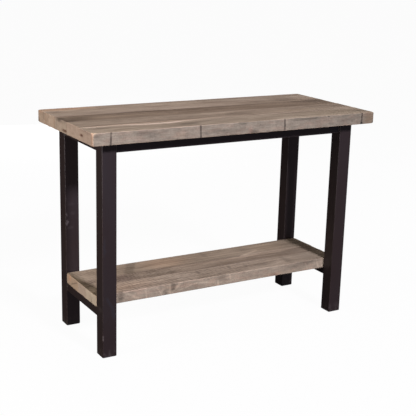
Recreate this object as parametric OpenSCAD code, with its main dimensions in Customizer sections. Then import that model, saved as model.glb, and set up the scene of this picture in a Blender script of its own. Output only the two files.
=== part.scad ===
// Console table with a thick plank top and a plank shelf on a welded frame of square steel tube.
// All sizes are in millimetres. +X runs along the length to the right, +Y to the back, +Z up.
// The origin lies on the floor, below the middle of the top.

/* [Table] */
// Length of the top, left to right
table_l = 1080; // [900:10:1400]
// Depth of the top, front to back
table_d = 470; // [420:10:560]
// Height of the top surface above the floor
table_h = 762; // [700:1:900]
// How far the top stands out past the legs on every side
overhang = 54; // [10:1:80]

/* [Wood] */
// Thickness of the top boards
top_t = 41; // [36:1:50]
// Thickness of the shelf boards
shelf_t = 38; // [32:1:45]
// Height of the shelf surface above the floor
shelf_z = 200; // [150:5:300]
// Rounding of the long outer edges of the boards
edge_r = 2.5; // [1:0.5:5]
// Free space between the shelf and the legs, front and back
shelf_gap = 0.5; // [0.2:0.1:2]

/* [Steel frame] */
// Width of the square leg tube
leg_w = 50; // [46:1:60]
// Width of the square tube of the four top rails
rail_w = 38; // [30:1:40]
// Width of the square tube of the two shelf stretchers
stretcher_w = 32; // [28:1:34]
// How far a stretcher lies behind the legs' outer faces
stretcher_recess = 4; // [4:1:8]
// Wall thickness of every tube
wall = 2; // [1.5:0.5:3]
// Outer corner radius of every tube
corner_r = 3; // [2.5:0.5:4]
// Leg length of the triangular weld beads
bead = 3; // [2:0.5:3.5]

/* [Foot caps] */
// Thickness of the plastic flange under each leg
cap_t = 3; // [2:0.5:6]
// Height of the plug that is pushed into the leg
plug_h = 14; // [8:1:25]
// Wall thickness of the plug
plug_wall = 2.5; // [2:0.5:4]
// Free space between the plug and the inside of the leg
plug_gap = 0.1; // [0.05:0.05:0.3]

/* [Fixings] */
// Length of a mounting tab along its rail
tab_l = 32; // [26:1:45]
// How far a mounting tab reaches out from its rail
tab_reach = 30; // [26:1:36]
// Thickness of a mounting tab
tab_t = 3; // [2:0.5:5]
// Distance of the outer tabs from the middle of the table
tab_pitch = 300; // [200:10:330]
// Diameter of the wood screws
screw_d = 4.8; // [4:0.2:5.4]
// Diameter of the clearance holes in tabs and stretchers
clear_d = 5.6; // [5.6:0.2:6.4]
// Diameter of the screw heads
head_d = 9.6; // [8.6:0.2:10.6]
// Height of the screw heads
head_h = 3; // [2:0.5:4]
// Diameter of the washers under the tabs
washer_d = 14; // [12:1:18]
// Thickness of the washers
washer_t = 1.2; // [0.8:0.2:2]
// Depth that a screw reaches into the wood
screw_bite = 26; // [18:1:28]
// Diameter of the holes that let a screw head into a stretcher
access_d = 12; // [11:0.5:14]

/* [Hidden] */
$fn = 48;

// Relative widths of the boards, from the front to the back
top_shares = [105, 105, 103, 55, 102];
shelf_shares = [90, 66, 106];

// Heights
leg_top = table_h - top_t;
shelf_bottom = shelf_z - shelf_t;
// Places of the legs: outer faces, and the faces that the rails and stretchers meet
leg_x = table_l / 2 - overhang;
leg_y = table_d / 2 - overhang;
span_x = leg_x - leg_w;
span_y = leg_y - leg_w;
// Centre lines of rails and stretchers
rail_x = leg_x - leg_w / 2;
rail_y = leg_y - leg_w / 2;
stretcher_x = leg_x - stretcher_recess - stretcher_w / 2;
// Depth of the shelf, and its screw places across the depth
shelf_d = 2 * (span_y - shelf_gap);
shelf_screw_y = [for (i = [0 : len(shelf_shares) - 1]) board_centre(shelf_shares, shelf_d, i)];
// Distance of a tab's hole from its rail's centre line
tab_hole = rail_w / 2 + tab_reach * 0.6;
// Where the top is screwed down
top_screw_xy = [
    for (side = [-1, 1]) for (x = [-tab_pitch, 0, tab_pitch]) [x, side * (rail_y - tab_hole)],
    for (side = [-1, 1]) [side * (rail_x - tab_hole), 0]
];
// Slack between a screw and its pilot hole
pilot_slack = 0.1;

function sum(list, count) = count == 0 ? 0 : list[count - 1] + sum(list, count - 1);
function board_edge(shares, depth, i) = depth * (sum(shares, i) / sum(shares, len(shares)) - 0.5);
function board_centre(shares, depth, i) =
    (board_edge(shares, depth, i) + board_edge(shares, depth, i + 1)) / 2;

// A rectangle with round corners, centred on the origin
module round_rect(w, h, r) {
    square([w - 2 * r, h], center = true);
    square([w, h - 2 * r], center = true);
    for (x = [-1, 1], y = [-1, 1])
        translate([x * (w / 2 - r), y * (h / 2 - r)])
            circle(r);
}

// A square tube that stands on the origin
module tube(w, length) {
    linear_extrude(length)
        difference() {
            round_rect(w, w, corner_r);
            round_rect(w - 2 * wall, w - 2 * wall, corner_r - wall / 2);
        }
}

// One board: a slice of the whole panel's cross-section, with its underside at z = 0
module plank(shares, i, length, depth, t) {
    y0 = board_edge(shares, depth, i);
    y1 = board_edge(shares, depth, i + 1);
    rotate([90, 0, 90])
        linear_extrude(length, center = true)
            translate([0, t / 2])
                intersection() {
                    round_rect(depth, t, edge_r);
                    translate([y0, -t / 2])
                        square([y1 - y0, t]);
                }
}

// Board i of the top, with pilot holes for the screws that end in it
module top_board(i) {
    y0 = board_edge(top_shares, table_d, i);
    y1 = board_edge(top_shares, table_d, i + 1);
    color("rosybrown")
        difference() {
            translate([0, 0, leg_top])
                plank(top_shares, i, table_l, table_d, top_t);
            for (p = top_screw_xy)
                if (p.y > y0 && p.y < y1)
                    translate([p.x, p.y, leg_top - 1])
                        cylinder(h = screw_bite + 2, d = screw_d + pilot_slack);
        }
}

// Board i of the shelf, with a pilot hole at each end
module shelf_board(i) {
    color("tan")
        difference() {
            translate([0, 0, shelf_bottom])
                plank(shelf_shares, i, 2 * leg_x, shelf_d, shelf_t);
            for (side = [-1, 1])
                translate([side * stretcher_x, shelf_screw_y[i], shelf_bottom - 1])
                    cylinder(h = screw_bite + 2, d = screw_d + pilot_slack);
        }
}

// Leg at one corner: sx is -1 for left, 1 for right; sy is -1 for front, 1 for back
module leg(sx, sy) {
    color([0.16, 0.12, 0.12])
        translate([sx * rail_x, sy * rail_y, cap_t])
            tube(leg_w, leg_top - cap_t);
}

// Front or back rail, between two legs
module long_rail(sy) {
    color([0.14, 0.11, 0.11])
        translate([-span_x, sy * rail_y, leg_top - rail_w / 2])
            rotate([0, 90, 0])
                tube(rail_w, 2 * span_x);
}

// Left or right rail, between two legs
module side_rail(sx) {
    color([0.14, 0.11, 0.11])
        translate([sx * rail_x, span_y, leg_top - rail_w / 2])
            rotate([90, 0, 0])
                tube(rail_w, 2 * span_y);
}

// Stretcher under one end of the shelf, drilled for the shelf screws and their heads
module stretcher(sx) {
    color([0.14, 0.11, 0.11])
        translate([sx * stretcher_x, 0, shelf_bottom])
            difference() {
                translate([0, span_y, -stretcher_w / 2])
                    rotate([90, 0, 0])
                        tube(stretcher_w, 2 * span_y);
                for (y = shelf_screw_y) {
                    translate([0, y, -wall - 1])
                        cylinder(h = wall + 2, d = clear_d);
                    translate([0, y, -stretcher_w - 1])
                        cylinder(h = wall + 2, d = access_d);
                }
            }
}

// Plastic cap under a leg: a flange to stand on and a hollow plug inside the tube
module foot_cap(sx, sy) {
    plug_w = leg_w - 2 * wall - 2 * plug_gap;
    inner_w = plug_w - 2 * plug_wall;
    color([0.07, 0.07, 0.07])
        translate([sx * rail_x, sy * rail_y, 0]) {
            linear_extrude(cap_t)
                round_rect(leg_w, leg_w, corner_r);
            linear_extrude(cap_t + plug_h)
                difference() {
                    round_rect(plug_w, plug_w, corner_r - wall / 2);
                    square(inner_w, center = true);
                }
        }
}

// Mounting tab that reaches in from its rail along +Y, flush with the rail's top, with one hole
module tab() {
    color([0.14, 0.11, 0.11])
        difference() {
            translate([-tab_l / 2, rail_w / 2, -tab_t])
                cube([tab_l, tab_reach, tab_t]);
            translate([0, tab_hole, -tab_t - 1])
                cylinder(h = tab_t + 2, d = clear_d);
        }
}

// Tab on the front rail (sy = -1) or the back rail (sy = 1), at place x
module long_rail_tab(sy, x) {
    translate([x, sy * rail_y, leg_top])
        rotate(sy > 0 ? 180 : 0)
            tab();
}

// Tab on the left rail (sx = -1) or the right rail (sx = 1)
module side_rail_tab(sx) {
    translate([sx * rail_x, 0, leg_top])
        rotate(sx * 90)
            tab();
}

// Pan-head wood screw: the head's flat side lies at z = 0 and the shank points up
module screw(length) {
    color("silver") {
        translate([0, 0, -head_h])
            difference() {
                cylinder(h = head_h, d = head_d);
                translate([0, 0, -1])
                    cylinder(h = head_h / 2 + 1, d = head_d / 3, $fn = 6);
            }
        cylinder(h = length - screw_d / 2, d = screw_d);
        translate([0, 0, length - screw_d / 2])
            cylinder(h = screw_d / 2, d1 = screw_d, d2 = 1);
    }
}

// Screws that hold the top down on the tabs
module top_screws() {
    for (p = top_screw_xy)
        translate([p.x, p.y, leg_top - tab_t - washer_t])
            screw(tab_t + washer_t + screw_bite);
}

// Washers between the screw heads and the tabs
module top_washers() {
    color("silver")
        for (p = top_screw_xy)
            translate([p.x, p.y, leg_top - tab_t - washer_t])
                difference() {
                    cylinder(h = washer_t, d = washer_d);
                    translate([0, 0, -1])
                        cylinder(h = washer_t + 2, d = clear_d);
                }
}

// Screws that hold the shelf down, with their heads inside the stretchers
module shelf_screws() {
    for (sx = [-1, 1], y = shelf_screw_y)
        translate([sx * stretcher_x, y, shelf_bottom - wall])
            screw(wall + screw_bite);
}

// A straight fillet weld along +Z in the corner between the planes x = 0 and y = 0
module weld(length) {
    linear_extrude(length)
        polygon([[0, 0], [bead, 0], [0, bead]]);
}

// Welds round three sides of a tube of width w that runs along +Y from a leg's face at y = 0,
// with the top of the tube at z = 0
module end_welds(w) {
    upright = w - corner_r;
    color([0.15, 0.12, 0.12]) {
        translate([w / 2, 0, -upright])
            weld(upright);
        translate([-w / 2, 0, -upright])
            mirror([1, 0, 0])
                weld(upright);
        translate([-w / 2 + corner_r, 0, -w])
            rotate([0, 90, 0])
                weld(w - 2 * corner_r);
    }
}

// Welds at both ends of all four rails
module rail_welds() {
    for (sx = [-1, 1], sy = [-1, 1]) {
        translate([sx * span_x, sy * rail_y, leg_top])
            rotate(sx * 90)
                end_welds(rail_w);
        translate([sx * rail_x, sy * span_y, leg_top])
            rotate(sy > 0 ? 180 : 0)
                end_welds(rail_w);
    }
}

// Welds at both ends of the stretchers
module stretcher_welds() {
    for (sx = [-1, 1], sy = [-1, 1])
        translate([sx * stretcher_x, sy * span_y, shelf_bottom])
            rotate(sy > 0 ? 180 : 0)
                end_welds(stretcher_w);
}

top_board(0);  // top_board_front
top_board(1);  // top_board_middle
top_board(2);  // top_board_dark
top_board(3);  // top_board_narrow
top_board(4);  // top_board_back
shelf_board(0);  // shelf_board_front
shelf_board(1);  // shelf_board_middle
shelf_board(2);  // shelf_board_back
leg(-1, -1);  // leg_front_left
leg(1, -1);  // leg_front_right
leg(-1, 1);  // leg_back_left
leg(1, 1);  // leg_back_right
long_rail(-1);  // rail_front
long_rail(1);  // rail_back
side_rail(-1);  // rail_left
side_rail(1);  // rail_right
stretcher(-1);  // stretcher_left
stretcher(1);  // stretcher_right
foot_cap(-1, -1);  // foot_cap_front_left
foot_cap(1, -1);  // foot_cap_front_right
foot_cap(-1, 1);  // foot_cap_back_left
foot_cap(1, 1);  // foot_cap_back_right
long_rail_tab(-1, -tab_pitch);  // tab_front_left
long_rail_tab(-1, 0);  // tab_front_middle
long_rail_tab(-1, tab_pitch);  // tab_front_right
long_rail_tab(1, -tab_pitch);  // tab_back_left
long_rail_tab(1, 0);  // tab_back_middle
long_rail_tab(1, tab_pitch);  // tab_back_right
side_rail_tab(-1);  // tab_side_left
side_rail_tab(1);  // tab_side_right
top_screws();
top_washers();
shelf_screws();
rail_welds();
stretcher_welds();
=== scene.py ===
import math
from itertools import product

import bpy
import numpy as np
from mathutils import Matrix, Vector


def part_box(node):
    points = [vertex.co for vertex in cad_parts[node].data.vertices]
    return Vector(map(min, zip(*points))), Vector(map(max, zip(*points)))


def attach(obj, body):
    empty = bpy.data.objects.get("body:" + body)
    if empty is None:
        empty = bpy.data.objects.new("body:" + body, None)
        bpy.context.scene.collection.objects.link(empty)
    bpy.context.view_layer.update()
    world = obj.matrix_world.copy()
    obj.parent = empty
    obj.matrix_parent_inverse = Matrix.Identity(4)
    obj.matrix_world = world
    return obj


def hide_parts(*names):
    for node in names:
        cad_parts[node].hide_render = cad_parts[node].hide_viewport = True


# A console table: old planks on a frame of painted square tube.
# Lengths are in metres unless a name or comment says millimetres. +Z is up and the front is -Y.

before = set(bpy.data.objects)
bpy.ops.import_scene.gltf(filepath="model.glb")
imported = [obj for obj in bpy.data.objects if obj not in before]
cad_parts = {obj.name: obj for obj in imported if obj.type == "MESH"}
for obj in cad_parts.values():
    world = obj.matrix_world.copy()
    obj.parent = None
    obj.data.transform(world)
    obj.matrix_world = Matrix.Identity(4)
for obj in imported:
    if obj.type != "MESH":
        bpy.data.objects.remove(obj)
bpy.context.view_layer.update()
MM = 0.001


# ---------------------------------------------------------------- camera, light and floor

def direction(azimuth, elevation):
    """Unit vector from the table towards a viewer or lamp. Azimuth 0 is the front, 90 the right."""
    a = math.radians(azimuth)
    e = math.radians(elevation)
    return Vector((math.sin(a) * math.cos(e), -math.cos(a) * math.cos(e), math.sin(e)))


def aim(obj, place, target, roll=0.0):
    """Stands a camera or lamp at place, looking at target."""
    back = (place - target).normalized()
    right = Vector((0, 0, 1)).cross(back).normalized()
    up = back.cross(right)
    r = math.radians(roll)
    side = right * math.cos(r) + up * math.sin(r)
    top = up * math.cos(r) - right * math.sin(r)
    axes = Matrix((side, top, back)).transposed()
    obj.matrix_world = Matrix.Translation(place) @ axes.to_4x4()


def camera(azimuth, elevation, distance, lens, target, roll):
    data = bpy.data.cameras.new("camera")
    data.lens = lens
    data.clip_end = 200
    obj = bpy.data.objects.new("camera", data)
    bpy.context.scene.collection.objects.link(obj)
    aim(obj, target + direction(azimuth, elevation) * distance, target, roll)
    bpy.context.scene.camera = obj


def softbox(name, azimuth, elevation, distance, width, height, power, colour, target):
    """A rectangular lamp that faces the target."""
    data = bpy.data.lights.new(name, "AREA")
    data.shape = "RECTANGLE"
    data.size = width
    data.size_y = height
    data.energy = power
    data.color = colour
    obj = bpy.data.objects.new(name, data)
    bpy.context.scene.collection.objects.link(obj)
    aim(obj, target + direction(azimuth, elevation) * distance, target)
    return obj


def studio():
    """A cool key lamp at the front, a warm softbox at the left, two weak and low lamps for the back
    and the right, and a room that is brightest in front."""
    centre = Vector((0, 0, 0.42))
    softbox("key_lamp", 5, 33, 7.0, 0.79, 0.79, 700, (1.0, 0.97, 1.1), centre)
    left = Vector((-0.5, 0, 0.45))
    softbox("left_lamp", -80, 12, 2.1, 0.9, 1.0, 56, (1.0, 0.92, 0.82), left)
    for fill in (
        softbox("back_lamp", 168, -1, 4.0, 1.6, 0.5, 120, (1.0, 0.97, 0.96), centre),
        softbox("right_lamp", 84, -1, 3.4, 1.2, 0.5, 60, (1.0, 0.97, 0.94), centre),
    ):
        fill.visible_glossy = False
    scene = bpy.context.scene
    scene.view_settings.view_transform = "Standard"
    world = bpy.data.worlds.new("studio")
    scene.world = world
    world.use_nodes = True
    tree = world.node_tree
    tree.nodes.clear()
    way = tree.nodes.new("ShaderNodeTexCoord")

    def glow(toward, low, high, dark, bright):
        """A soft patch of light in one direction of the room."""
        lined_up = tree.nodes.new("ShaderNodeVectorMath")
        lined_up.operation = "DOT_PRODUCT"
        lined_up.inputs[1].default_value = toward
        tree.links.new(way.outputs["Generated"], lined_up.inputs[0])
        spread = tree.nodes.new("ShaderNodeMapRange")
        spread.interpolation_type = "SMOOTHSTEP"
        values = {"From Min": low, "From Max": high, "To Min": dark, "To Max": bright}
        for name, value in values.items():
            spread.inputs[name].default_value = value
        tree.links.new(lined_up.outputs["Value"], spread.inputs["Value"])
        return spread.outputs["Result"]

    both = tree.nodes.new("ShaderNodeMath")
    tree.links.new(glow(direction(25, 0), -0.7, 0.8, 0.05, 0.2), both.inputs[0])
    tree.links.new(glow(direction(128, -26), 0.45, 0.92, 0.0, 0.3), both.inputs[1])
    path = tree.nodes.new("ShaderNodeLightPath")
    mixed = tree.nodes.new("ShaderNodeMixShader")
    seen = tree.nodes.new("ShaderNodeBackground")
    seen.inputs["Color"].default_value = (0.985, 0.985, 0.985, 1)
    room = tree.nodes.new("ShaderNodeBackground")
    room.inputs["Color"].default_value = (1.0, 0.91, 0.96, 1)
    tree.links.new(both.outputs[0], room.inputs["Strength"])
    output = tree.nodes.new("ShaderNodeOutputWorld")
    tree.links.new(path.outputs["Is Camera Ray"], mixed.inputs["Fac"])
    tree.links.new(room.outputs[0], mixed.inputs[1])
    tree.links.new(seen.outputs[0], mixed.inputs[2])
    tree.links.new(mixed.outputs[0], output.inputs["Surface"])


# ---------------------------------------------------------------- materials

class Value:
    """A socket of a material's node tree, with arithmetic that adds Math nodes."""

    def __init__(self, finish, socket):
        self.finish = finish
        self.socket = socket

    def __add__(self, other):
        return self.finish.math("ADD", self, other)

    def __radd__(self, other):
        return self.finish.math("ADD", other, self)

    def __sub__(self, other):
        return self.finish.math("SUBTRACT", self, other)

    def __rsub__(self, other):
        return self.finish.math("SUBTRACT", other, self)

    def __mul__(self, other):
        return self.finish.math("MULTIPLY", self, other)

    def __rmul__(self, other):
        return self.finish.math("MULTIPLY", other, self)

    def __truediv__(self, other):
        return self.finish.math("DIVIDE", self, other)

    def __pow__(self, other):
        return self.finish.math("POWER", self, other)

    def __abs__(self):
        return self.finish.math("ABSOLUTE", self)


def grey(tint):
    """A tint as a colour: a single number stands for a grey one."""
    return tint if isinstance(tint, tuple) else (tint, tint, tint)


def times(colour, *factor):
    """A colour in numbers times one factor, or one for each channel."""
    factors = factor * 3 if len(factor) == 1 else factor
    return tuple(c * k for c, k in zip(colour, factors))


class Finish:
    """A procedural material with one Principled surface. Its places are in millimetres."""

    def __init__(self, name, seed=0):
        self.material = bpy.data.materials.new(name)
        self.material.use_nodes = True
        self.tree = self.material.node_tree
        self.shader = self.tree.nodes["Principled BSDF"]
        self.seed = seed
        here = self.node("TexCoord", output="Object")
        self.place = self.vector("MULTIPLY", here, (1000, 1000, 1000))
        self.x, self.y, self.z = self.parts(self.place)
        self.loose_place = self.wander()
        drift = self.vector("SUBTRACT", self.loose_place, self.place)
        self.steady_place = self.vector("MULTIPLY_ADD", drift, (0.22, 0.22, 0.22), self.place)
        self.broken = 0.45 + 1.1 * self.noise((20, 5, 5), 31, detail=3)

    def node(self, kind, settings=None, sockets=None, output=0):
        """Adds a node: its settings first, then the values or links of its sockets."""
        made = self.tree.nodes.new("ShaderNode" + kind)
        for name, value in (settings or {}).items():
            setattr(made, name, value)
        for name, value in (sockets or {}).items():
            self.feed(made.inputs[name], value)
        return Value(self, made.outputs[output])

    def feed(self, socket, value):
        if isinstance(value, Value):
            self.tree.links.new(value.socket, socket)
        elif isinstance(value, tuple) and socket.type == "RGBA":
            socket.default_value = (*value, 1)
        else:
            socket.default_value = value

    def math(self, operation, *values):
        return self.node("Math", {"operation": operation}, dict(enumerate(values)))

    def vector(self, operation, *values, output=0):
        return self.node("VectorMath", {"operation": operation}, dict(enumerate(values)), output)

    def parts(self, vector):
        node = self.node("SeparateXYZ", sockets={0: vector}).socket.node
        return [Value(self, socket) for socket in node.outputs]

    def mix(self, factor, first, second, blend="MIX"):
        """Colour between first, at factor 0, and second, at factor 1."""
        settings = {"data_type": "RGBA", "blend_type": blend, "clamp_factor": True}
        return self.node("Mix", settings, {0: factor, 6: first, 7: second}, 2)

    def step(self, value, low, high):
        """From 0 at low to 1 at high with soft ends; low may be the larger."""
        return self.node(
            "MapRange",
            {"interpolation_type": "SMOOTHSTEP"},
            {"Value": value, "From Min": low, "From Max": high},
        )

    def noise(self, size, shift=0, detail=2.0, rough=0.5, place=None):
        """Random values about 0.5 in lumps of that size, in millimetres along each axis."""
        scale = tuple(1 / s for s in size)
        offset = (self.seed * 17.3 + shift * 5.1, self.seed * 9.7 + shift * 3.3, shift * 7.9)
        coordinates = self.node(
            "VectorMath",
            {"operation": "MULTIPLY_ADD"},
            {0: place or self.place, 1: scale, 2: offset},
        )
        sockets = {"Vector": coordinates, "Scale": 1.0, "Detail": detail, "Roughness": rough}
        return self.node("TexNoise", sockets=sockets)

    def wander(self):
        """The place, moved about by a few millimetres, so that a mark's outline isn't a clean curve."""
        lump = self.node("VectorMath", {"operation": "MULTIPLY"}, {0: self.place, 1: (0.045, 0.1, 0.1)})
        drift = self.node("TexNoise", sockets={"Vector": lump, "Scale": 1.0, "Detail": 2.0}, output="Color")
        drift = self.vector("MULTIPLY_ADD", drift, (16, 8, 6), (-8, -4, -3))
        return self.vector("ADD", self.place, drift)

    def spot(self, centre, size, soft=0.55):
        """1 inside an ellipsoid with half axes of size, fading out over the share soft of them."""
        scale = tuple(1 / s for s in size)
        offset = tuple(-c / s for c, s in zip(centre, size))
        scaled = self.vector("MULTIPLY_ADD", self.loose_place, scale, offset)
        return self.step(self.vector("LENGTH", scaled, output="Value"), 1 + soft, 1 - soft)

    def line(self, start, end, width):
        """1 on the straight line from start to end, fading out at half of width beside it."""
        run = tuple(e - s for s, e in zip(start, end))
        square = sum(c * c for c in run)
        apart = self.vector("SUBTRACT", self.steady_place, start)
        share = self.vector("DOT_PRODUCT", apart, tuple(c / square for c in run), output="Value")
        share = self.math("MINIMUM", self.math("MAXIMUM", share, 0.0), 1.0)
        nearest = self.node("VectorMath", {"operation": "SCALE"}, {0: run, "Scale": share})
        away = self.vector("DISTANCE", apart, nearest, output="Value")
        return self.step(away, width * 0.6, width * 0.2)

    def marks(self, colour, spots=(), lines=()):
        """Tints colour at spots, each a centre, half axes and tint, and along lines of a given width."""
        for centre, size, tint in spots:
            mask = self.spot(centre, size, soft=0.8) * self.broken
            colour = self.mix(mask, colour, grey(tint), "MULTIPLY")
        for start, end, width, tint in lines:
            mask = self.line(start, end, width) * (0.3 + 0.7 * self.broken)
            colour = self.mix(mask, colour, grey(tint), "MULTIPLY")
        return colour

    def bump(self, height, distance, strength=1.0):
        """Height in units of distance, in metres, as a normal."""
        return self.node("Bump", sockets={"Height": height, "Distance": distance, "Strength": strength})

    def surface(self, **sockets):
        """Feeds the shader's own sockets; underscores stand for spaces."""
        for name, value in sockets.items():
            self.feed(self.shader.inputs[name.replace("_", " ")], value)
        return self.material


# ---------------------------------------------------------------- old wood

def facing(f):
    """How far a board's surface faces front or back, its ends, up and down, and how far it is an arris
    or turned to the lower side."""
    turned = f.node("Attribute", {"attribute_name": "facing"}, output="Vector")
    x, y, z = f.parts(turned)
    most = f.math("MAXIMUM", f.math("MAXIMUM", abs(x), abs(y)), abs(z))
    return {
        "side": f.step(abs(y), 0.62, 0.8),
        "end": f.step(abs(x), 0.62, 0.8),
        "up": f.step(z, 0.62, 0.8),
        "down": f.step(z, -0.62, -0.8),
        "arris": f.step(most, 0.995, 0.88),
        "lower": f.step(z, 0.1, -0.1),
    }


def year_rings(f, heart, pitch, knots):
    """Late wood, 0 to 1: rings round a heart along X, at y and z in millimetres, that bend round knots."""
    dy = f.y - heart[0] + (f.noise((520, 120, 120), 1) - 0.5) * 46
    dz = f.z - heart[1] + (f.noise((520, 120, 120), 2) - 0.5) * 46
    radius = (dy * dy + dz * dz) ** 0.5
    for centre, size, _ in knots:
        radius = radius + f.spot(centre, size, soft=0.95) * (2.2 * pitch)
    uneven = f.node("TexNoise", {"noise_dimensions": "1D"}, {"W": radius / (pitch * 2.5), "Scale": 1.0})
    ring = f.math("FRACT", radius / pitch + uneven * 2.0)
    return f.step(ring, 0.25, 0.9) * f.step(ring, 1.0, 0.93)


def planed_face(f, tone, late):
    """Worn face of a board: colour and height. Long grey and brown streaks with dark flecks and pores."""
    fibre = f.noise((60, 1.1, 1.1), 3, detail=3)
    streak = f.noise((260, 8, 8), 4, detail=3)
    thin = f.noise((110, 3.2, 3.2), 11, detail=2)
    cloud = f.noise((170, 42, 42), 5, detail=2)
    fleck = f.step(f.noise((34, 2.4, 2.4), 6, detail=2), 0.62, 0.76)
    pores = f.step(f.noise((22, 0.7, 0.7), 12, detail=1), 0.62, 0.74)
    shade = (streak - 0.5) * 1.6 + (cloud - 0.5) * 1.2 + (thin - 0.5) * 0.9 + (fibre - 0.5) * 0.7
    shade = shade + (late - 0.35) * 0.26 + 0.47
    colour = f.mix(shade, times(tone, 1.33, 1.34, 1.37), times(tone, 0.68, 0.64, 0.61))
    colour = f.mix(fleck * 0.4 + pores * 0.25, colour, times(tone, 0.38, 0.35, 0.34))
    height = (fibre - 0.5) * 0.3 + late * 0.12 + (streak - 0.5) * 0.5 + (thin - 0.5) * 0.35
    return colour, height - pores * 0.3 - fleck * 0.25


def sawn_side(f, tone):
    """Long edge of a board, left rough from the saw: colour and height. Blotches, grit and dark flecks."""
    stroke = f.noise((5.2, 60, 34), 7, detail=4, rough=0.55)
    broad = f.noise((17, 60, 50), 13, detail=1)
    blotch = f.noise((34, 30, 8), 14, detail=4, rough=0.62)
    vein = f.noise((70, 30, 3.4), 22, detail=3)
    grit = f.noise((4.6, 6, 3.4), 24, detail=3, rough=0.6)
    shade = (stroke - 0.5) * 0.3 + (broad - 0.5) * 0.5 + (blotch - 0.5) * 1.5 + (vein - 0.5) * 0.6
    shade = shade + (grit - 0.5) * 1.1 + 0.5
    colour = f.mix(shade, times(tone, 1.36), times(tone, 0.68, 0.67, 0.67))
    fleck = f.step(f.noise((10, 9, 3.6), 25, detail=3), 0.6, 0.74)
    colour = f.mix(fleck * 0.5, colour, times(tone, 0.4))
    pink = f.step(f.noise((36, 30, 11), 15, detail=2), 0.45, 0.66)
    colour = f.mix(pink * 0.6, colour, (1.1, 0.98, 0.96), "MULTIPLY")
    fuzz = f.noise((1.3, 3, 4.2), 8, detail=2)
    height = (stroke - 0.5) * 0.5 + (fuzz - 0.5) * 0.5 + (grit - 0.5) * 0.5 + (blotch - 0.5) * 0.5
    return colour, height


def end_grain(f, tone, late):
    """Sawn end of a board: colour and height. Warm, with upright streaks over faint rings."""
    streak = f.noise((60, 4.2, 60), 9, detail=3)
    patch = f.noise((60, 26, 13), 16, detail=2)
    fuzz = f.noise((3, 1.6, 2.6), 17, detail=2)
    shade = (streak - 0.5) * 0.9 + (patch - 0.5) * 0.8 + (fuzz - 0.5) * 0.6 + (late - 0.35) * 0.2 + 0.5
    colour = f.mix(shade, times(tone, 1.28), times(tone, 0.74, 0.7, 0.67))
    height = (streak - 0.5) * 0.9 + (fuzz - 0.5) * 0.8 - late * 0.2
    return colour, height


def kerf_strokes(f, pitch, slant):
    """Strokes that a band saw left across a board."""
    wobble = (f.noise((60, 22, 22), 18, detail=2) - 0.5) * 9
    phase = f.math("FRACT", (f.x + f.y * slant + wobble) / pitch)
    stroke = f.step(abs(phase - 0.5), 0.32, 0.08)
    return stroke * f.step(f.noise((9, 16, 16), 19, detail=1), 0.36, 0.6)


def wood(name, seed, look, extra=None):
    """Weathered timber. look holds the board's tones, heart and marks; extra(f, on, colour, height)
    adds what only one board has."""
    f = Finish(name, seed)
    on = facing(f)
    knots = look.get("knots", [])
    late = year_rings(f, look["heart"], look["pitch"], knots)
    colour, height = planed_face(f, look["tone"], late)
    side_colour, side_height = sawn_side(f, look["side"])
    end_colour, end_height = end_grain(f, look["end"], late)
    colour = f.mix(on["down"], colour, (0.86, 0.8, 0.74), "MULTIPLY")
    colour = f.mix(on["side"], colour, side_colour)
    colour = f.mix(on["end"], colour, end_colour)
    height = height + on["side"] * (side_height - height)
    height = height + on["end"] * (end_height - height)
    if "kerfs" in look:
        pitch, slant, depth, where, size = look["kerfs"]
        kerf = kerf_strokes(f, pitch, slant) * on["up"] * (0.25 + 0.75 * f.spot(where, size))
        colour = f.mix(kerf * depth, colour, times(look["tone"], 0.35, 0.33, 0.34))
        height = height - kerf * 0.6
    low_or_left = f.math("MAXIMUM", f.step(f.x, 60, -200), on["lower"])
    worn = on["arris"] * f.step(f.noise((42, 30, 12), 10, detail=2), 0.3, 0.62) * (0.3 + 0.45 * low_or_left)
    colour = f.mix(worn, colour, (0.4, 0.3, 0.228))
    colour = f.marks(colour, [*look.get("spots", []), *knots], look.get("lines", []))
    if extra:
        colour, height = extra(f, on, colour, height)
    rough = 0.74 + (f.noise((120, 12, 12), 20) - 0.5) * 0.3
    return f.surface(
        Base_Color=colour,
        Roughness=rough,
        Normal=f.bump(height, 0.0007),
        Specular_IOR_Level=0.28,
    )


# ---------------------------------------------------------------- planks

def bumps(points, size, seed):
    """Smooth random values from -1 to 1 at the points, in lumps of that size along each axis."""
    q = points / np.array(size) + seed * 3.71
    cell = np.floor(q).astype(np.int64)
    share = q - cell
    share = share * share * (3 - 2 * share)
    total = np.zeros(len(points))
    for corner in product((0, 1), repeat=3):
        c = cell + corner
        h = (c[:, 0] * 73856093) ^ (c[:, 1] * 19349663) ^ (c[:, 2] * 83492791) ^ (seed * 2654435761)
        h = ((h ^ (h >> 13)) * 1274126177) & 0xFFFFFFFF
        h = h ^ (h >> 16)
        weight = np.prod(np.where(corner, share, 1 - share), axis=1)
        total += weight * (h / 0xFFFFFFFF * 2 - 1)
    return total


def ramp(value, low, high):
    """From 0 at low to 1 at high with soft ends; low may be the larger."""
    share = np.clip((value - low) / (high - low), 0, 1)
    return share * share * (3 - 2 * share)


def ticks(low, high, pitch):
    """Grid places from low to high, closer together near both ends, where the arrises are."""
    near_end = np.array([0, 0.6, 1.3, 2.1, 3.2, 4.6]) * MM
    margin = 6.5 * MM
    count = max(2, round((high - low - 2 * margin) / pitch))
    inner = np.linspace(low + margin, high - margin, count + 1)
    return np.concatenate([low + near_end, inner, (high - near_end)[::-1]])


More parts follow.
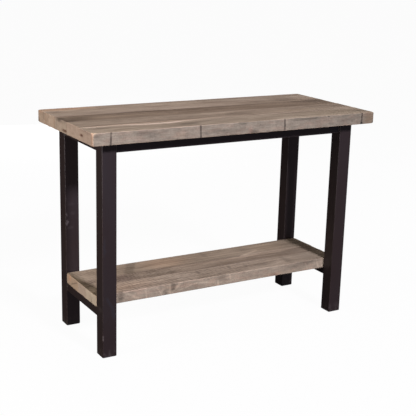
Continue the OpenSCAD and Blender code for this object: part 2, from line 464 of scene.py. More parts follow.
def block_grid(xs, ys, zs):
    """Points on the surface of a block at the given grid places, and the quads that join them."""
    shape = (len(xs), len(ys), len(zs))
    quads = []
    for axis in range(3):
        u = (axis + 1) % 3
        v = (axis + 2) % 3
        iu, iv = (g.ravel() for g in np.meshgrid(range(shape[u] - 1), range(shape[v] - 1), indexing="ij"))
        for side in (0, shape[axis] - 1):
            around = [(0, 0), (1, 0), (1, 1), (0, 1)]
            if side == 0:
                around.reverse()
            corners = []
            for du, dv in around:
                index = [None] * 3
                index[axis] = np.full(len(iu), side)
                index[u] = iu + du
                index[v] = iv + dv
                corners.append(np.ravel_multi_index(index, shape))
            quads.append(np.stack(corners, 1))
    used, faces = np.unique(np.concatenate(quads), return_inverse=True)
    i, j, k = np.unravel_index(used, shape)
    return np.stack([xs[i], ys[j], zs[k]], 1), faces.reshape(-1, 4)


def piece(name, points, faces, material, slot, *nodes):
    """A smooth mesh piece of the table that stands for the CAD nodes."""
    mesh = bpy.data.meshes.new(name)
    mesh.from_pydata(np.asarray(points).tolist(), [], [list(face) for face in faces])
    mesh.shade_smooth()
    mesh.materials.append(material)
    obj = bpy.data.objects.new(name, mesh)
    bpy.context.scene.collection.objects.link(obj)
    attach(obj, "root")
    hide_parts(*nodes)
    return obj


def dents(points, places):
    """Depth to remove, in millimetres, at chips and gouges: each a centre, half axes and depth."""
    depth = np.zeros(len(points))
    for centre, size, deep in places:
        away = np.linalg.norm((points / MM - centre) / np.array(size), axis=1)
        depth = np.maximum(depth, deep * ramp(away, 1.15, 0.75))
    return depth


def plank(node, material, slot, seed, look, joints, pitch, carve=None):
    """A board in place of its CAD node: round, uneven outer arrises, crisp ones at the glued joints.
    joints says whether the front and the back side are glued; carve gives extra depth to remove."""
    low, high = (np.array(corner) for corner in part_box(node))
    points, faces = block_grid(*(ticks(low[a], high[a], pitch[a]) for a in range(3)))
    x, y, _ = points.T
    to_end = np.minimum(x - low[0], high[0] - x)
    to_outer = np.full(len(points), 1.0)
    to_joint = np.full(len(points), 1.0)
    for glued, away in zip(joints, (y - low[1], high[1] - y)):
        if glued:
            to_joint = np.minimum(to_joint, away)
        else:
            to_outer = np.minimum(to_outer, away)
    corner = ramp(np.hypot(to_end, to_outer), 16 * MM, 4 * MM)
    outer = 2.3 + 0.8 * bumps(points, (0.05, 0.05, 1), seed)
    outer = outer + 0.5 * bumps(points, (0.014, 0.014, 1), seed + 5)
    outer = outer + 2.2 * corner
    joint = 0.7 + 0.35 * bumps(points, (0.03, 1, 1), seed + 1)
    near_joint = ramp(to_joint, 14 * MM, 4 * MM)
    radius = ((outer + (joint - outer) * near_joint) * MM)[:, None]
    core = np.clip(points, low + radius, high - radius)
    out = points - core
    way = out / np.linalg.norm(out, axis=1, keepdims=True)
    points = core + way * radius
    side = np.abs(way[:, 1]) * (near_joint < 0.5)
    end = np.abs(way[:, 0])
    flat = np.abs(way[:, 2])
    depth = np.zeros(len(points))
    # how deep, in millimetres, the weather has taken each face, in waves of these lengths in metres
    for face, deep, wave, shift in (
        (flat, 0.16, (0.16, 0.02, 0.02), 2), (flat, 0.1, (0.07, 0.007, 0.02), 6),
        (side, 0.2, (0.004, 0.04, 0.02), 3), (side, 0.2, (0.02, 0.04, 0.01), 7),
        (end, 0.18, (0.04, 0.004, 0.04), 4),
    ):
        depth = depth + face * deep * (1 + bumps(points, wave, seed + shift))
    depth = depth + look["sink"] * ramp(way[:, 2], 0.3, 0.9)
    depth = np.maximum(depth, dents(points, look.get("dents", [])))
    if carve:
        depth = depth + carve(points / MM, way)
    points = points - way * (depth * MM)[:, None]
    obj = piece(node.replace("board", "plank"), points, faces, material, slot, node)
    attribute = obj.data.attributes.new("facing", "FLOAT_VECTOR", "POINT")
    attribute.data.foreach_set("vector", way.astype(np.float32).ravel())
    return obj


def worn_joint(x, step):
    """The ledge worn along the back of the front board: its place y, and how deep it is, 0 to 1, at x."""
    dip = step(x, -400, -290) * step(x, -150, -245)
    worn = (0.5 + 0.5 * step(x, -430, -330)) * step(x, -70, -210)
    return -133.5 - 11 * dip, worn


def carve_ledge(points, way):
    """Depth removed from the top of the front board: a ledge beside the joint that fades forward."""
    x, y, _ = points.T
    edge, worn = worn_joint(x, ramp)
    return 2.6 * worn * ramp(y, edge + 2.5, edge - 2.5) * ramp(y, -226, -170) * ramp(way[:, 2], 0.3, 0.9)


def ledge_colour(f, on, colour, height):
    """The bare, light wood on the front board's worn ledge."""
    edge, worn = worn_joint(f.x, f.step)
    ragged = (f.noise((26, 9, 9), 21, detail=4, rough=0.65) - 0.5) * 13
    width = 3 + 5 * f.noise((46, 46, 46), 23, detail=2)
    strip = f.step(abs(f.y - edge + ragged), width, width * 0.2) * worn * on["up"]
    colour = f.mix(strip * 0.8, colour, (0.45, 0.355, 0.27))
    return colour, height


# Marks are in millimetres: a spot is a centre, half axes and a tint, a line two ends, a width and a tint.
FRONT = -235
LEFT = -540
TOP = 762
SHELF_TOP = 200
SHELF_FRONT = -131
SHELF_LEFT = -486


def stain_lines():
    """Dark stains that run down the front edge of the top, where iron straps once lay."""
    rusty = (0.36, 0.34, 0.34)
    return [((x, FRONT, 724), (x + lean, FRONT, 760), width, rusty)
            for x, lean, width in ((-481, 1.5, 8), (-167, -1.5, 8.5), (157, -1, 8), (485, 1, 8))]


TOP_LOOKS = {
    "top_board_front": {
        "heart": (-210, 690), "pitch": 4.2, "sink": 0.2,
        "tone": (0.3, 0.242, 0.168), "side": (0.181, 0.154, 0.117), "end": (0.265, 0.206, 0.174),
        "spots": [
            ((-180, -182, TOP), (34, 15, 8), 0.6), ((-478, -158, TOP), (28, 9, 8), 0.68),
            ((-90, -160, TOP), (60, 14, 8), 0.85), ((-300, -205, TOP), (70, 8, 8), 1.12),
            ((515, -190, TOP), (32, 10, 8), 0.6), ((420, -180, TOP), (150, 60, 8), (0.9, 0.89, 0.86)),
            ((-450, -205, TOP), (110, 26, 8), (1.1, 1.1, 1.1)), ((250, -222, TOP), (260, 10, 6), 1.1),
            ((-537, -232, 760), (10, 9, 8), (1.5, 1.45, 1.4)), ((-481, FRONT, 752), (2.4, 5, 4.5), 1.9),
            ((-367, FRONT, 750), (34, 5, 8), 0.72), ((-330, FRONT, 744), (18, 5, 6), 0.8),
            ((-60, FRONT, 737), (50, 5, 7), 0.74), ((-112, FRONT, 741), (18, 5, 6), 0.78),
            ((33, FRONT, 727), (18, 5, 5), 0.55), ((250, FRONT, 756), (56, 5, 4.5), 0.58),
            ((-10, FRONT, 758), (16, 5, 3), 0.6), ((-530, FRONT, 752), (9, 5, 4), 0.68),
            ((430, FRONT, 744), (38, 5, 15), 0.8), ((518, FRONT, 741), (24, 5, 24), (0.9, 0.8, 0.7)),
            ((20, FRONT, 733), (9, 5, 13), (1.16, 1.03, 1.02)), ((485, FRONT, 724), (6, 5, 5), 0.3),
            ((340, FRONT, 757), (3, 5, 2.6), 0.25), ((538, FRONT, 727), (6, 6, 10), 0.55),
            ((420, FRONT, 741), (230, 6, 40), 0.87), ((515, FRONT, 741), (50, 5, 34), 0.88),
            ((-480, FRONT, 741), (66, 5, 30), 1.1),
            ((70, FRONT, 750), (24, 5, 8), 0.84), ((-240, FRONT, 735), (22, 5, 9), (1.12, 1.04, 1.0)),
            ((-420, FRONT, 728), (60, 5, 6), 1.15), ((110, FRONT, 735), (26, 5, 10), 1.14),
            ((LEFT, -147, 741), (6, 11, 3.4), (0.3, 0.17, 0.12)),
            ((LEFT, -228, 740), (6, 6, 26), (1.04, 0.9, 0.82)), ((LEFT, -185, 757), (6, 34, 5), 0.86),
        ],
        "lines": [*stain_lines(), ((462, -122, TOP), (500, -131, TOP), 12, 1.12)],
        "dents": [
            ((-541, -236, 763), (12, 9, 7), 2.2), ((LEFT, -147, 741), (6, 10.5, 2.6), 2.4),
            ((-10, -234, 762), (14, 4, 3), 1.3), ((33, -236, 722), (16, 4, 4), 1.6),
            ((250, -236, 763), (40, 5, 4), 1.2), ((-425, -236, 763), (26, 4, 4), 1.0),
            ((485, -236, 722), (6, 4, 5), 2.2), ((120, -236, 721), (24, 4, 3), 1.1),
        ],
    },
    "top_board_middle": {
        "heart": (-60, 800), "pitch": 3.6, "sink": 0.0,
        "tone": (0.284, 0.224, 0.155), "side": (0.2, 0.16, 0.13), "end": (0.273, 0.214, 0.18),
        "spots": [
            ((-193, -65, TOP), (20, 8, 8), 0.8), ((-127, -84, TOP), (16, 7, 8), 0.76),
            ((-267, -92, TOP), (20, 7, 8), 0.8), ((-400, -45, TOP), (90, 10, 8), 0.9),
            ((-330, -112, TOP), (150, 7, 8), 0.86), ((-300, -127, TOP), (240, 4, 6), (1.3, 1.22, 1.16)),
            ((40, -88, TOP), (60, 12, 8), 0.88), ((300, -95, TOP), (120, 14, 8), (1.08, 1.06, 1.02)),
            ((505, -60, TOP), (50, 30, 8), 0.92),
        ],
        "lines": [
            ((-52, -44, TOP), (-26, -84, TOP), 20, 1.15), ((26, -38, TOP), (-4, -100, TOP), 24, 1.1),
            ((456, -104, TOP), (505, -122, TOP), 14, 1.14),
        ],
    },
    "top_board_dark": {
        "heart": (60, 705), "pitch": 5.0, "sink": 0.35,
        "tone": (0.213, 0.159, 0.104), "side": (0.2, 0.15, 0.12), "end": (0.264, 0.215, 0.179),
        "spots": [
            ((-147, 20, TOP), (14, 4, 8), 0.7), ((-33, 42, TOP), (17, 4, 8), 0.68),
            ((0, 25, TOP), (8, 4, 8), 0.58), ((63, 30, TOP), (19, 5, 8), 0.66),
            ((122, 22, TOP), (9, 3, 8), 0.76), ((-320, 48, TOP), (16, 5, 8), 0.66),
            ((-500, 10, TOP), (60, 40, 8), 0.78), ((-522, -12, TOP), (22, 12, 8), 0.62),
            ((-534, 40, TOP), (12, 12, 8), 0.5), ((490, 40, TOP), (60, 34, 8), 0.72),
            ((-190, 70, TOP), (260, 8, 8), 0.72), ((280, 70, TOP), (180, 8, 8), 0.8),
            ((-380, 12, TOP), (60, 12, 8), 1.2), ((200, -10, TOP), (150, 9, 8), 1.14),
            ((-60, -12, TOP), (120, 8, 8), 1.12), ((330, 10, TOP), (70, 12, 8), 0.84),
            ((LEFT, -8, 731), (6, 18, 4), (0.28, 0.15, 0.1)), ((LEFT, 40, 758), (6, 24, 5), 0.66),
            ((LEFT, 60, 742), (6, 4, 22), 0.86),
        ],
        "dents": [((LEFT, -8, 731), (6, 17, 3.2), 2.6)],
    },
    "top_board_narrow": {
        "heart": (140, 700), "pitch": 3.4, "sink": 0.1,
        "tone": (0.342, 0.271, 0.193), "side": (0.2, 0.16, 0.13), "end": (0.31, 0.245, 0.2),
        "spots": [
            ((380, 104, TOP), (230, 60, 8), (0.72, 0.7, 0.66)), ((385, 112, TOP), (40, 16, 8), 0.78),
            ((500, 82, TOP), (40, 10, 8), 0.7), ((492, 118, TOP), (46, 11, 8), 1.2),
            ((-300, 84, TOP), (120, 5, 8), 0.86), ((LEFT, 82, 742), (6, 4, 22), (0.8, 0.74, 0.7)),
            ((LEFT, 131, 757), (6, 3, 8), 0.42),
        ],
        "dents": [((LEFT, 133, 758), (9, 2.2, 8), 2.2)],
    },
    "top_board_back": {
        "heart": (170, 820), "pitch": 4.6, "sink": 0.0,
        "tone": (0.35, 0.277, 0.194), "side": (0.2, 0.158, 0.13), "end": (0.28, 0.219, 0.178),
        "spots": [
            ((-510, 165, TOP), (24, 14, 8), 0.74), ((-455, 214, TOP), (100, 26, 8), (1.22, 1.02, 0.9)),
            ((-290, 226, TOP), (60, 8, 8), 0.8), ((300, 185, TOP), (260, 70, 8), 0.86),
            ((410, 152, TOP), (60, 16, 8), 0.82), ((500, 165, TOP), (40, 20, 8), 1.16),
            ((0, 150, TOP), (140, 9, 8), 1.08), ((180, 215, TOP), (110, 8, 8), 0.86),
            ((LEFT, 228, 727), (8, 9, 8), 0.5), ((LEFT, 180, 752), (6, 10, 12), 0.84),
            ((LEFT, 160, 740), (6, 3, 24), (0.9, 0.8, 0.74)),
        ],
        "dents": [((LEFT, 136, 760), (9, 2, 6), 1.8), ((-400, 236, 763), (30, 5, 4), 1.2)],
    },
}

SHELF_LOOKS = {
    "shelf_board_front": {
        "heart": (-100, 120), "pitch": 4.4, "sink": 0.1,
        "tone": (0.277, 0.222, 0.161), "side": (0.225, 0.184, 0.135), "end": (0.358, 0.305, 0.251),
        "kerfs": (15, 0.25, 0.5, (-200, -86, SHELF_TOP), (420, 80, 12)),
        "knots": [((-204, SHELF_FRONT, 184), (26, 14, 20), (0.92, 0.9, 0.88))],
        "spots": [
            ((-72, -73, SHELF_TOP), (6, 14, 8), 0.6), ((60, -66, SHELF_TOP), (5, 12, 8), 0.66),
            ((120, -78, SHELF_TOP), (6, 12, 8), 0.68), ((180, -92, SHELF_TOP), (30, 14, 8), 0.78),
            ((297, -86, SHELF_TOP), (16, 34, 8), 0.74),
            ((-350, -90, SHELF_TOP), (110, 40, 8), (1.14, 1.08, 1.06)),
            # the first spot on the next line is painted shadow: darker at the right end, where the front
            # right leg's shadow falls
            ((420, -80, SHELF_TOP), (90, 60, 8), 0.78), ((-8, -108, SHELF_TOP), (7, 8, 8), 0.66),
            ((-398, SHELF_FRONT, 184), (12, 5, 20), 0.6), ((-202, SHELF_FRONT, 190), (9, 5, 14), 0.6),
            ((-230, SHELF_FRONT, 172), (8, 5, 12), 0.66), ((-6, SHELF_FRONT, 192), (15, 5, 10), 0.7),
            ((-110, SHELF_FRONT, 172), (44, 5, 8), 0.78), ((160, SHELF_FRONT, 180), (40, 5, 9), 0.86),
            ((310, SHELF_FRONT, 184), (60, 5, 10), 0.76), ((370, SHELF_FRONT, 194), (60, 5, 6), 0.7),
            ((-300, SHELF_FRONT, 190), (40, 5, 8), 1.1), ((424, SHELF_FRONT, 182), (8, 5, 20), 1.12),
            ((210, SHELF_FRONT, 170), (40, 5, 6), (1.0, 0.9, 0.86)),
            ((SHELF_LEFT, -89, 170), (6, 4, 9), 0.6),
        ],
        "lines": [
            ((-213, SHELF_FRONT, 198), (-213, SHELF_FRONT, 166), 8, 1.3),
            ((-306, SHELF_FRONT, 199), (-303, SHELF_FRONT, 166), 8, 1.25),
            ((24, SHELF_FRONT, 199), (27, SHELF_FRONT, 182), 8, 1.25),
            ((-24, SHELF_FRONT, 179), (-23, SHELF_FRONT, 165), 8, 1.25),
            ((-384, SHELF_FRONT, 198), (-334, SHELF_FRONT, 168), 12, 1.22),
            ((-168, SHELF_FRONT, 199), (-206, SHELF_FRONT, 167), 10, 1.22),
            ((-178, SHELF_FRONT, 172), (-110, SHELF_FRONT, 187), 6, 1.22),
            ((-110, SHELF_FRONT, 187), (-34, SHELF_FRONT, 178), 6, 1.18),
            ((-265, SHELF_FRONT, 196), (-246, SHELF_FRONT, 168), 5, 1.25),
            ((404, SHELF_FRONT, 198), (412, SHELF_FRONT, 168), 5, 1.3),
            ((424, SHELF_FRONT, 198), (428, SHELF_FRONT, 170), 5, 1.35),
            ((350, SHELF_FRONT, 196), (362, SHELF_FRONT, 172), 6, 1.18),
        ],
        "dents": [((487, -132, 201), (14, 10, 6), 1.8), ((-487, -132, 201), (8, 6, 5), 1.2)],
    },
    "shelf_board_middle": {
        "heart": (0, 260), "pitch": 3.8, "sink": 0.3,
        "tone": (0.224, 0.174, 0.123), "side": (0.24, 0.19, 0.15), "end": (0.319, 0.259, 0.22),
        "kerfs": (11, 0.25, 0.75, (-330, -8, SHELF_TOP), (190, 60, 12)),
        "spots": [
            # the next spot is a painted shadow: the front left leg's soft shadow on the middle board
            ((-330, -8, SHELF_TOP), (40, 32, 8), (0.62, 0.58, 0.6)),
            ((-230, -8, SHELF_TOP), (100, 34, 8), 0.88),
            ((150, 14, SHELF_TOP), (240, 10, 8), 1.26), ((80, -30, SHELF_TOP), (220, 9, 8), 0.9),
            # the second spot on the next line is painted shadow: darker at the right end, where the front
            # right leg's shadow falls
            ((330, -14, SHELF_TOP), (40, 20, 8), 0.84), ((425, -8, SHELF_TOP), (60, 46, 8), 0.78),
            ((-150, -22, SHELF_TOP), (12, 14, 8), 0.76),
        ],
        "lines": [((-300, 24, SHELF_TOP), (175, 24, SHELF_TOP), 6, 0.62)],
    },
    "shelf_board_back": {
        "heart": (90, 130), "pitch": 5.0, "sink": 0.0,
        "tone": (0.242, 0.191, 0.134), "side": (0.24, 0.19, 0.15), "end": (0.303, 0.23, 0.177),
        "kerfs": (14, 0.3, 0.4, (-420, 80, SHELF_TOP), (120, 70, 12)),
        "spots": [
            ((-130, 80, SHELF_TOP), (80, 50, 8), (1.18, 1.08, 1.02)),
            ((-440, 80, SHELF_TOP), (60, 60, 8), 1.08),
            ((-20, 50, SHELF_TOP), (60, 16, 8), 0.88), ((45, 100, SHELF_TOP), (9, 30, 8), 0.82),
            ((330, 80, SHELF_TOP), (70, 40, 8), (1.08, 1.06, 1.02)),
            ((215, 92, SHELF_TOP), (26, 26, 8), 0.84),
            # the second spot on the next line is painted shadow: darker at the right end, where the front
            # right leg's shadow falls
            ((100, 36, SHELF_TOP), (60, 9, 8), 0.84), ((430, 85, SHELF_TOP), (90, 70, 8), 0.7),
            ((SHELF_LEFT, 100, 190), (6, 10, 10), (1.1, 0.9, 0.8)),
        ],
        "lines": [
            # the next line is a painted shadow: the front left leg's diagonal shadow on the back board
            ((-240, 128, SHELF_TOP), (-290, 34, SHELF_TOP), 40, 0.7),
            ((170, 24, SHELF_TOP), (256, 58, SHELF_TOP), 14, 1.3),
            ((-280, 28, SHELF_TOP), (170, 28, SHELF_TOP), 6, 0.66),
            ((SHELF_LEFT, 86, 172), (SHELF_LEFT, 36, 192), 6, 0.62),
        ],
    },
}


def table_top():
    for i, (node, look) in enumerate(TOP_LOOKS.items()):
        first = i == 0
        material = wood(node, 11 + i, look, ledge_colour if first else None)
        joints = (i > 0, i < len(TOP_LOOKS) - 1)
        grid = (3.4 * MM, 2.3 * MM, 1.7 * MM)
        plank(node, material, "top_wood", 31 + 9 * i, look, joints, grid, carve_ledge if first else None)


def shelf():
    for i, (node, look) in enumerate(SHELF_LOOKS.items()):
        material = wood(node, 21 + i, look)
        joints = (i > 0, i < len(SHELF_LOOKS) - 1)
        plank(node, material, "shelf_wood", 83 + 9 * i, look, joints, (3.0 * MM, 2.4 * MM, 1.7 * MM))


# ---------------------------------------------------------------- steel frame, caps and fixings

TUBE_CORNER = 3.0
BEAD = 3.0


def painted_steel():
    """Satin brown-black paint, lighter at the corners of the legs where it is worn thin and where a
    highlight is painted, with scuffs, drips and floor dirt.
    """
    f = Finish("painted_steel", 40)
    mottle = f.noise((60, 60, 160), 1, detail=3)
    peel = f.noise((2.2, 2.2, 2.2), 2, detail=2)
    brushed = f.noise((1.2, 1.2, 34), 3, detail=2)
    colour = f.mix(mottle, (0.0142, 0.0072, 0.0056), (0.0104, 0.0058, 0.0048))
    # lighter leg corners: paint worn thin, and a painted highlight along the rounded corners
    across = abs(abs(f.x) - 461)
    deep = abs(abs(f.y) - 156)
    corner = f.step(f.math("MINIMUM", across, deep), 22.6, 24.4)
    worn_corner_highlight = corner * f.step(f.noise((6, 6, 40), 4, detail=3), 0.34, 0.62)
    colour = f.mix(worn_corner_highlight * 0.5, colour, (0.045, 0.03, 0.027))
    # chalky scuffs on two legs, and a rub mark that curls round a corner
    for centre, size, strength in (
        ((-481, 131, 380), (5, 4, 9), 0.2), ((-482, 131, 409), (3, 4, 5), 0.14),
        ((-465, 131, 446), (12, 4, 5), 0.02), ((-459, 131, 413), (11, 4, 5), 0.02),
        ((-470, 131, 361), (12, 4, 5), 0.03), ((-486, -181, 70), (4, 4, 9), 0.14),
        ((-486, -160, 165), (5, 14, 9), 0.03),
    ):
        colour = f.mix(f.spot(centre, size) * strength, colour, (0.3, 0.26, 0.27))
    rub = f.line((-470, -181, 205), (-452, -181, 172), 11)
    rub = f.math("MAXIMUM", rub, f.line((-452, -181, 172), (-446, -181, 138), 15))
    rub = f.math("MAXIMUM", rub, f.spot((-479, -181, 380), (4, 4, 26)))
    colour = f.mix(rub * 0.75, colour, (0.007, 0.0035, 0.003))
    # dust near the floor
    dust = f.step(f.z, 46, 3) * f.step(f.noise((9, 9, 14), 5, detail=3), 0.42, 0.7)
    colour = f.mix(dust * 0.16, colour, (0.12, 0.1, 0.085))
    rough = 0.47 + (mottle - 0.5) * 0.16 + (brushed - 0.5) * 0.1 + rub * 0.2 - worn_corner_highlight * 0.08 + dust * 0.15
    height = (peel - 0.5) * 0.6 + (brushed - 0.5) * 0.5
    return f.surface(
        Base_Color=colour,
        Roughness=rough,
        Normal=f.bump(height, 0.00012, 0.6),
        Specular_IOR_Level=0.45,
        Specular_Tint=(0.78, 0.82, 1.0),
    )


def weld_metal():
    """Weld beads under the same paint, a little rougher and duller, with soot in the ripples."""
    f = Finish("weld_metal", 41)
    grain = f.noise((1.4, 1.4, 1.4), 1, detail=3)
    soot = f.noise((5, 5, 5), 2, detail=2)
    colour = f.mix(soot, (0.02, 0.011, 0.0095), (0.011, 0.0065, 0.006))
    rough = 0.5 + (grain - 0.5) * 0.3
    return f.surface(Base_Color=colour, Roughness=rough, Normal=f.bump(grain, 0.0002, 0.7),
                     Specular_IOR_Level=0.4)


def cap_plastic():
    """Black moulded polyethylene with a fine spark texture, scratched and greyed where it stands."""
    f = Finish("cap_plastic", 42)
    spark = f.noise((0.7, 0.7, 0.7), 1, detail=2)
    scratch = f.step(f.noise((26, 0.8, 6), 2, detail=2), 0.6, 0.72)
    foot = f.step(f.z, 2.2, 0.2)
    colour = f.mix(scratch * foot * 0.7, (0.012, 0.011, 0.011), (0.11, 0.1, 0.09))
    colour = f.mix(foot * f.noise((9, 9, 3), 3) * 0.3, colour, (0.07, 0.065, 0.06))
    rough = 0.5 + (spark - 0.5) * 0.3 + foot * 0.15
    return f.surface(Base_Color=colour, Roughness=rough, Normal=f.bump(spark, 0.00015, 0.7))


def zinc_plated_steel():
    """Bright zinc with a pale spangle and a few yellowish stains."""
    f = Finish("zinc_plated_steel", 43)
    spangle = f.node("TexVoronoi", {"feature": "F1"}, {"Vector": f.place, "Scale": 0.7}, "Color")
    shade = f.parts(spangle)[0]
    stain = f.step(f.noise((4, 4, 4), 1, detail=3), 0.5, 0.72)
    colour = f.mix(shade, (0.5, 0.52, 0.55), (0.62, 0.63, 0.64))
    colour = f.mix(stain * 0.45, colour, (0.42, 0.36, 0.24))
    rough = 0.34 + (shade - 0.5) * 0.12 + stain * 0.2
    scratches = f.noise((0.4, 5, 0.4), 2, detail=2)
    return f.surface(Base_Color=colour, Metallic=0.95 - stain * 0.3, Roughness=rough,
                     Normal=f.bump(scratches, 0.0001, 0.5))


def square_ring(half, corner, z, steps=5):
    """Points of a square outline with round corners, at height z."""
    points = []
    for quarter in range(4):
        turn = quarter * math.pi / 2
        cx = (half - corner) * (math.cos(turn) - math.sin(turn))
        cy = (half - corner) * (math.sin(turn) + math.cos(turn))
        for step in range(steps + 1):
            a = turn + step / steps * math.pi / 2
            points.append((cx + corner * math.cos(a), cy + corner * math.sin(a), z))
    return points


def loft(rings, closed=False):
    """A skin over rings with equal numbers of points: closed into a ring, or else with flat ends."""
    count = len(rings[0])
    points = [p for ring in rings for p in ring]
    faces = []
    last = len(rings) if closed else len(rings) - 1
    for i in range(last):
        a = i * count
        b = (i + 1) % len(rings) * count
        for j in range(count):
            k = (j + 1) % count
            faces.append((a + j, a + k, b + k, b + j))
    if not closed:
        faces.append(tuple(range(count))[::-1])
        faces.append(tuple(range(len(points) - count, len(points))))
    return np.array(points), faces


def joined(parts):
    """Several points and faces as one mesh."""
    all_points = []
    all_faces = []
    count = 0
    for points, faces in parts:
        all_points.append(points)
        all_faces += [tuple(i + count for i in face) for face in faces]
        count += len(points)
    return np.concatenate(all_points), all_faces


def foot_caps():
    """Plastic foot: a flange with a round rim and a hollow under it, and a hollow plug with thin fins."""
    material = cap_plastic()
    fins = [ring for z in (5, 8, 11, 14) for ring in (
        (22.3, 2.0, z), (22.9, 2.0, z + 0.4), (22.9, 2.0, z + 0.9), (22.3, 2.0, z + 1.3))]
    profile = [
        (14, 2.0, 1.4), (17.6, 2.2, 1.4), (18.2, 2.4, 1.1), (18.6, 2.5, 0.3), (19.2, 2.6, 0.0),
        (22.0, 2.8, 0.0), (23.4, 3.2, 0.3), (24.4, 3.6, 0.9), (25.0, 3.6, 1.8), (25.0, 3.4, 2.7),
        (24.7, 3.0, 3.0), (22.3, 2.0, 3.0), *fins, (22.3, 2.0, 16.2), (21.6, 1.6, 17.0),
        (20.4, 1.2, 17.0), (20.0, 1.0, 16.6), (20.0, 1.0, 3.6), (19.6, 1.0, 3.2),
    ]
    for node in [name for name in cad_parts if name.startswith("foot_cap")]:
        low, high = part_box(node)
        centre = np.array([(low[0] + high[0]) / 2, (low[1] + high[1]) / 2, low[2]])
        points, faces = loft([square_ring(*ring) for ring in profile])
        piece(node.replace("cap", "glide"), points * MM + centre, faces, material, "cap_plastic", node)


def weld_bead(start, run, length, out_a, out_b, seed):
    """A rippled fillet along run from start, in the corner between the planes that out_a and out_b span."""
    parts = 9
    count = max(8, round(length / 0.55))
    rings = []
    for i in range(count + 1):
        t = i / count
        ripple = 0.5 + 0.5 * math.sin(i * 1.15 + 0.5 * math.sin(i * 0.31 + seed))
        size = BEAD * (0.9 + 0.1 * ripple) * min(1.0, 0.55 + 3.2 * min(t, 1 - t) * length / BEAD / 3)
        ring = [start + run * (t * length)]
        for j in range(parts):
            a = j / (parts - 1) * math.pi / 2
            bulge = size * (0.84 - 0.16 * math.cos(4 * (a - math.pi / 4)))
            ring.append(ring[0] + out_a * (bulge * math.cos(a)) + out_b * (bulge * math.sin(a)))
        rings.append([tuple(p) for p in ring])
    if np.dot(np.cross(out_a, out_b), run) < 0:
        rings.reverse()
    return loft(rings)


def end_welds(node):
    """The beads round three sides of both ends of a tube."""
    low, high = (np.array(corner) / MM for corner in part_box(node))
    size = high - low
    run_axis = 0 if size[0] > size[1] else 1
    cross_axis = 1 - run_axis
    width = size[2]
    up = np.array([0.0, 0.0, 1.0])
    across = np.eye(3)[cross_axis]
    beads = []
    for at_low in (True, False):
        along = np.eye(3)[run_axis] * (1 if at_low else -1)
        origin = (low + high) / 2
        origin[run_axis] = low[run_axis] if at_low else high[run_axis]
        origin[2] = high[2]
        upright = width - TUBE_CORNER
        for side in (-1, 1):
            foot = origin + across * (side * width / 2) - up * upright
            beads.append(weld_bead(foot, up, upright, across * side, along, len(beads)))
        corner = origin - across * (width / 2 - TUBE_CORNER) - up * width
        beads.append(weld_bead(corner, across, width - 2 * TUBE_CORNER, -up, along, len(beads)))
    return beads


def welds():
    material = weld_metal()
    for group, tubes in (("rail_welds", "rail_"), ("stretcher_welds", "stretcher_")):
        nodes = [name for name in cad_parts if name.startswith(tubes) and name != group]
        points, faces = joined([bead for node in nodes for bead in end_welds(node)])
        piece(group.replace("welds", "weld_beads"), points * MM, faces, material, "weld_metal", group)


def turned(profile, count=32, closed=False):
    """A body turned on the Z axis from its outline: radius and height at each point."""
    turns = [2 * math.pi * k / count for k in range(count)]
    rings = [[(r * math.cos(a), r * math.sin(a), z) for a in turns] for r, z in profile]
    return loft(rings, closed)


def pan_screw(length):
    """A pan-head wood screw, point up, with a cross recess in its head and a thread."""
    head = [(0.3, -3.0), (0.8, -3.0), (1.3, -2.99), (1.8, -2.97), (2.3, -2.92), (2.8, -2.82),
            (3.3, -2.66), (3.8, -2.42), (4.3, -2.0), (4.65, -1.4), (4.8, -0.7), (4.72, -0.15), (4.5, 0.0),
            (2.45, 0.0), (2.25, 0.25)]
    pitch = 2.0
    count = 32
    steps = round((length - 4.5) / 0.25)
    shank = [(2.2, 0.5 + 0.25 * i) for i in range(steps)]
    tip = [(2.2 - 1.9 * i / 8, 0.5 + 0.25 * steps + 4.0 * i / 8) for i in range(1, 9)]
    points, faces = turned(head + shank + tip, count)
    x, y, z = points.T
    radius = np.hypot(x, y)
    turn = np.arctan2(y, x)
    # the thread starts above a plain neck
    saw = np.abs(((z / pitch - turn / (2 * math.pi)) % 1) - 0.5) * 2
    cut = np.where(z > 5, 0.62 * np.clip(saw * 1.5, 0, 1), 0) * ramp(z, 5, 7)
    thin = np.clip(1 - cut / np.maximum(radius, 0.4), 0.55, 1)
    points[:, 0] *= thin
    points[:, 1] *= thin
    arm = np.minimum(np.abs(x), np.abs(y))
    recess = ramp(arm, 0.95, 0.55) * ramp(radius, 3.2, 2.5) * (z < -2)
    points[:, 2] += recess * 1.5 * ramp(radius, 4.2, 0.5)
    return points, faces


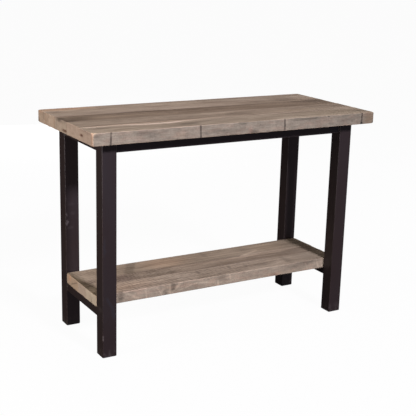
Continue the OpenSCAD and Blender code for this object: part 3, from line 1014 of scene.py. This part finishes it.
def fixings():
    """Screws under the top and the shelf, and the washers: one mesh for each group."""
    material = zinc_plated_steel()
    bite = 26
    tab = 3
    washer = 1.2
    wall = 2
    head_high = 3
    head_radius = 4.8
    hole_inward = 3
    tabs = [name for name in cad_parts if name.startswith("tab_")]
    under_top = []
    for node in tabs:
        low, high = (np.array(corner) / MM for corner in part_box(node))
        centre = (low + high) / 2
        axis = np.array([1, 0, 0]) if "side" in node else np.array([0, 1, 0])
        toward = hole_inward * np.sign(centre) * axis
        under_top.append((*(centre - toward)[:2], low[2] - washer))
    low, high = (np.array(corner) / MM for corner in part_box("shelf_screws"))
    boards = [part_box(node) for node in SHELF_LOOKS]
    under_shelf = []
    for x in (low[0] + head_radius, high[0] - head_radius):
        for board_low, board_high in boards:
            y = (board_low[1] + board_high[1]) / 2 / MM
            under_shelf.append((x, y, low[2] + head_high))
    top = pan_screw(tab + washer + bite)
    short = pan_screw(wall + bite)
    washer_outline = [
        (2.8, 0.15), (2.95, 0), (6.8, 0), (7, 0.2),
        (7, 1.0), (6.8, washer), (2.95, washer), (2.8, 1.05),
    ]
    ring = turned(washer_outline, 40, closed=True)
    for node, name, (points, faces), places in (
        ("top_screws", "top_pan_screws", top, under_top),
        ("shelf_screws", "shelf_pan_screws", short, under_shelf),
        ("top_washers", "top_flat_washers", ring, under_top),
    ):
        points, faces = joined([(points + np.array(place), faces) for place in places])
        piece(name, points * MM, faces, material, "zinc_plated_steel", node)


def cad_finish():
    """Paint on the tubes and tabs, which keep their own shape."""
    steel = painted_steel()
    for name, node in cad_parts.items():
        if name.startswith(("leg_", "rail_", "stretcher_", "tab_")) and "welds" not in name:
            node.data.materials.clear()
            node.data.materials.append(steel)


def floor():
    """A pale floor that the camera sees as bright as the backdrop, with only a trace of shadow."""
    f = Finish("floor", 50)
    speck = f.noise((900, 900, 900), 1)
    f.surface(Base_Color=f.mix(speck, (0.9, 0.9, 0.9), (0.88, 0.88, 0.88)), Roughness=0.9)
    glow = f.tree.nodes.new("ShaderNodeEmission")
    glow.inputs["Color"].default_value = (0.985, 0.985, 0.985, 1)
    mixed = f.tree.nodes.new("ShaderNodeMixShader")
    mixed.inputs["Fac"].default_value = 0.02
    f.tree.links.new(glow.outputs[0], mixed.inputs[1])
    f.tree.links.new(f.shader.outputs[0], mixed.inputs[2])
    f.tree.links.new(mixed.outputs[0], f.tree.nodes["Material Output"].inputs["Surface"])
    mesh = bpy.data.meshes.new("floor")
    s = 40
    mesh.from_pydata([(-s, -s, 0), (s, -s, 0), (s, s, 0), (-s, s, 0)], [], [(0, 1, 2, 3)])
    mesh.materials.append(f.material)
    obj = bpy.data.objects.new("floor", mesh)
    bpy.context.scene.collection.objects.link(obj)
    obj.visible_diffuse = False
    obj.visible_glossy = False


camera(-30.475, 15.333, 3.3265, 80.45, Vector((0.00423, 0, 0.4107)), 1.56)
studio()
floor()
table_top()
shelf()
foot_caps()
welds()
fixings()
cad_finish()
